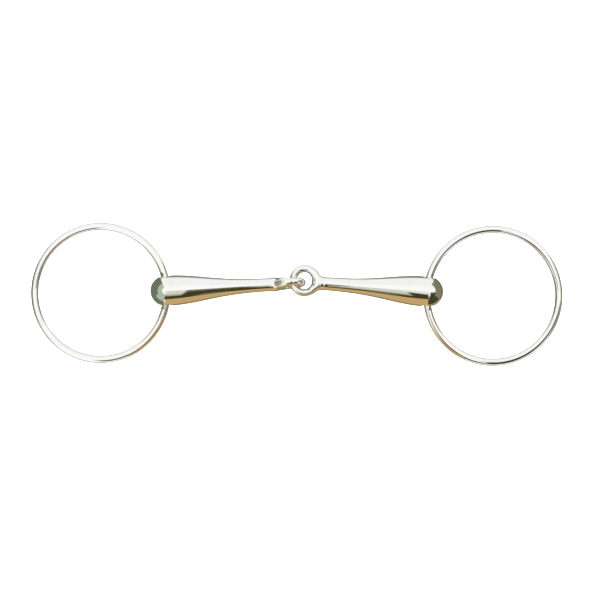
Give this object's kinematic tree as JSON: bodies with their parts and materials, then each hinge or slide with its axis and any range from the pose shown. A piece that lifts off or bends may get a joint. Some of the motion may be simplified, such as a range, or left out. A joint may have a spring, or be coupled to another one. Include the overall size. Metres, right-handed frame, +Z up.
{
  "type": "loose-ring single-jointed snaffle bit",
  "caption": "Polished steel horse bit: tapered arms hooked together through eyes in the middle, with round rings sliding through holes in their thick ends",
  "frame": {"origin": "on the surface the bit lies on, under the middle of its bounding box", "axes": "X runs along the mouthpiece from the left ring to the right ring, Y runs across the bit in the plane of the table, Z is up"},
  "size_m": [0.2842, 0.0766, 0.0173],
  "materials": {
    "barrel_steel": "mirror polished",
    "eye_steel": "mirror polished, lightly rubbed where the eyes bear",
    "ring_steel": "mirror polished",
    "weld_steel": "ground and polished"
  },
  "bodies": {
    "left_arm": {"left_barrel": "barrel_steel", "left_eye": "eye_steel"},
    "right_arm": {"right_barrel": "barrel_steel", "right_eye": "eye_steel"},
    "left_ring_body": {"left_ring": "ring_steel", "left_ring_weld": "weld_steel"},
    "right_ring_body": {"right_ring": "ring_steel", "right_ring_weld": "weld_steel"}
  },
  "joints": [
    {"name": "middle_joint", "type": "hinge", "parent": "left_arm", "child": "right_arm", "pos_m": [0.00278, 0.00616, 0.0082], "axis": [0, 0, 1], "range_deg": [-90, 90]},
    {"name": "left_ring_swing", "type": "hinge", "parent": "left_arm", "child": "left_ring_body", "pos_m": [-0.0699, 0.0019, 0.0082], "axis": [-0.0584, 0.9983, 0], "range_deg": [-115, 125]},
    {"name": "right_ring_swing", "type": "hinge", "parent": "right_arm", "child": "right_ring_body", "pos_m": [0.0699, 0.00147, 0.0082], "axis": [-0.0767, -0.9971, 0], "range_deg": [-115, 125]}
  ]
}
